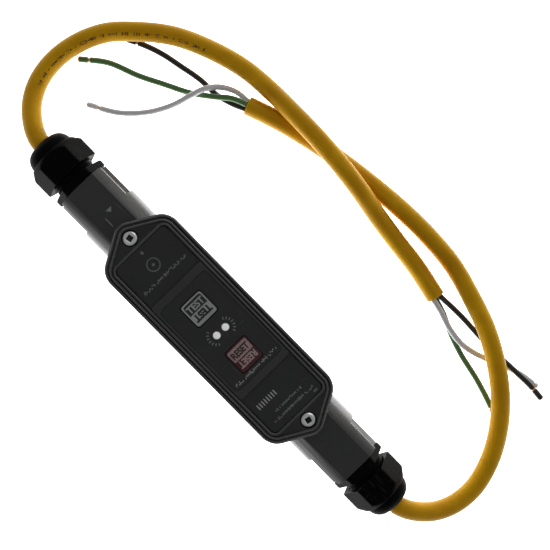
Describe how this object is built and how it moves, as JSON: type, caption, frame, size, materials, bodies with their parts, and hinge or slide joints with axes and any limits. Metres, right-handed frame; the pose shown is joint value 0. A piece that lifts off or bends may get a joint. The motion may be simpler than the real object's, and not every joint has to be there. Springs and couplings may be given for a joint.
{
  "type": "inline ground fault circuit interrupter",
  "caption": "In-line ground fault interrupter module with test and reset push buttons, domed cable glands at both ends and stripped three-core yellow supply cords",
  "frame": {"origin": "centre of the flat back of the body, under the middle of the cover, on the surface the module lies on", "axes": "+Z out of the face through the cover, +Y along the body towards the load end, +X to the right when the controls are read upright"},
  "size_m": [0.1403, 0.3306, 0.04],
  "materials": {
    "housing_grey": "moulded dark grey plastic, lightly polished",
    "cover_black": "near-black moulded plastic with a fine satin grain",
    "gasket_rubber": "soft black rubber",
    "screw_zinc": "bright zinc plating",
    "small_screws": "zinc plated steel",
    "brass": "plain brass",
    "label_film": "matt printed film",
    "bezel_grey": "mid grey moulded plastic",
    "membrane": "printed flexible film",
    "test_cap": "silver-grey printed keypad cap",
    "reset_cap": "dark red printed keypad cap",
    "spring_steel": "bright spring wire",
    "carbon_rubber": "carbon-filled rubber",
    "lens": "clear milky light pipe",
    "led_resin": "milky epoxy",
    "circuit_green": "solder resist over fibreglass",
    "chip_black": "moulded epoxy",
    "ferrite": "fired ferrite",
    "copper": "enamelled copper",
    "inner_plastic": "black moulded plastic",
    "soft_iron": "plated soft iron",
    "contact_metal": "silver tipped copper alloy",
    "varistor_blue": "dipped epoxy",
    "capacitor_yellow": "boxed film capacitor",
    "gland_black": "black nylon, half gloss",
    "thrust_nylon": "natural nylon",
    "cord_yellow": "yellow jacketed cord, soft sheen",
    "wire_black": "black conductor insulation",
    "wire_white": "white conductor insulation",
    "wire_green": "green conductor insulation"
  },
  "bodies": {
    "root": {"housing": "housing_grey", "screw_inserts": "brass", "cover_gasket": "gasket_rubber", "cover": "cover_black", "cover_screws": "screw_zinc", "screw_seals": "gasket_rubber", "upper_label": "label_film", "lower_label": "label_film", "control_bezel": "bezel_grey", "keypad_membrane": "membrane", "button_carrier": "inner_plastic", "test_spring": "spring_steel", "reset_spring": "spring_steel", "power_lens": "lens", "fault_lens": "lens", "indicator_leds": "led_resin", "circuit_board": "circuit_green", "board_screws": "small_screws", "control_chip": "chip_black", "sense_coil_core": "ferrite", "sense_coil_winding": "copper", "relay_base": "inner_plastic", "relay_yoke": "soft_iron", "relay_coil": "copper", "relay_contacts": "contact_metal", "varistor": "varistor_blue", "filter_capacitor": "capacitor_yellow", "line_terminal_block": "inner_plastic", "load_terminal_block": "inner_plastic", "terminal_screws": "small_screws", "line_busbars": "brass", "load_busbars": "brass", "earth_link": "brass", "load_gland_body": "gland_black", "load_gland_oring": "gasket_rubber", "load_gland_seal": "gasket_rubber", "load_gland_claw": "gland_black", "line_gland_body": "gland_black", "line_gland_oring": "gasket_rubber", "line_gland_seal": "gasket_rubber", "line_gland_claw": "gland_black", "load_cord_tail": "cord_yellow", "line_cord_tail": "cord_yellow", "load_cord": "cord_yellow", "line_cord": "cord_yellow", "load_wire_black": "wire_black", "load_wire_white": "wire_white", "load_wire_green": "wire_green", "line_wire_black": "wire_black", "line_wire_white": "wire_white", "line_wire_green": "wire_green"},
    "test_button": {"test_button": "test_cap", "test_contact_pill": "carbon_rubber"},
    "reset_button": {"reset_button": "reset_cap", "reset_contact_pill": "carbon_rubber"},
    "relay_armature": {"relay_armature": "soft_iron"},
    "load_gland_ring": {"load_thrust_ring": "thrust_nylon"},
    "load_gland_nut": {"load_gland_nut": "gland_black"},
    "line_gland_ring": {"line_thrust_ring": "thrust_nylon"},
    "line_gland_nut": {"line_gland_nut": "gland_black"}
  },
  "joints": [
    {"name": "test_press", "type": "slide", "parent": "root", "child": "test_button", "axis": [0, 0, -1], "range_m": [0, 0.001], "stiffness_N_per_m": 600, "springref_m": -0.0005, "deforming": ["test_spring"]},
    {"name": "reset_press", "type": "slide", "parent": "root", "child": "reset_button", "axis": [0, 0, -1], "range_m": [0, 0.001], "stiffness_N_per_m": 600, "springref_m": -0.0005, "deforming": ["reset_spring"]},
    {"name": "armature_swing", "type": "hinge", "parent": "root", "child": "relay_armature", "pos_m": [0, 0.0146, 0.0209], "axis": [-1, 0, 0], "range_deg": [0, 8], "stiffness_Nm_per_rad": 0.004, "springref_deg": -2.86},
    {"name": "load_nut_advance", "type": "slide", "parent": "root", "child": "load_gland_ring", "axis": [0, 1, 0], "range_m": [0, 0.003]},
    {"name": "load_nut_turn", "type": "hinge", "parent": "load_gland_ring", "child": "load_gland_nut", "pos_m": [0, 0, 0.0172], "axis": [0, 1, 0], "range_deg": [0, 720]},
    {"name": "line_nut_advance", "type": "slide", "parent": "root", "child": "line_gland_ring", "axis": [0, -1, 0], "range_m": [0, 0.003]},
    {"name": "line_nut_turn", "type": "hinge", "parent": "line_gland_ring", "child": "line_gland_nut", "pos_m": [0, 0, 0.0172], "axis": [0, -1, 0], "range_deg": [0, 720]}
  ],
  "couplings": [
    {"joint": "load_nut_advance", "follows": "load_nut_turn", "m_per_rad": 0.00023873},
    {"joint": "line_nut_advance", "follows": "line_nut_turn", "m_per_rad": 0.00023873}
  ]
}
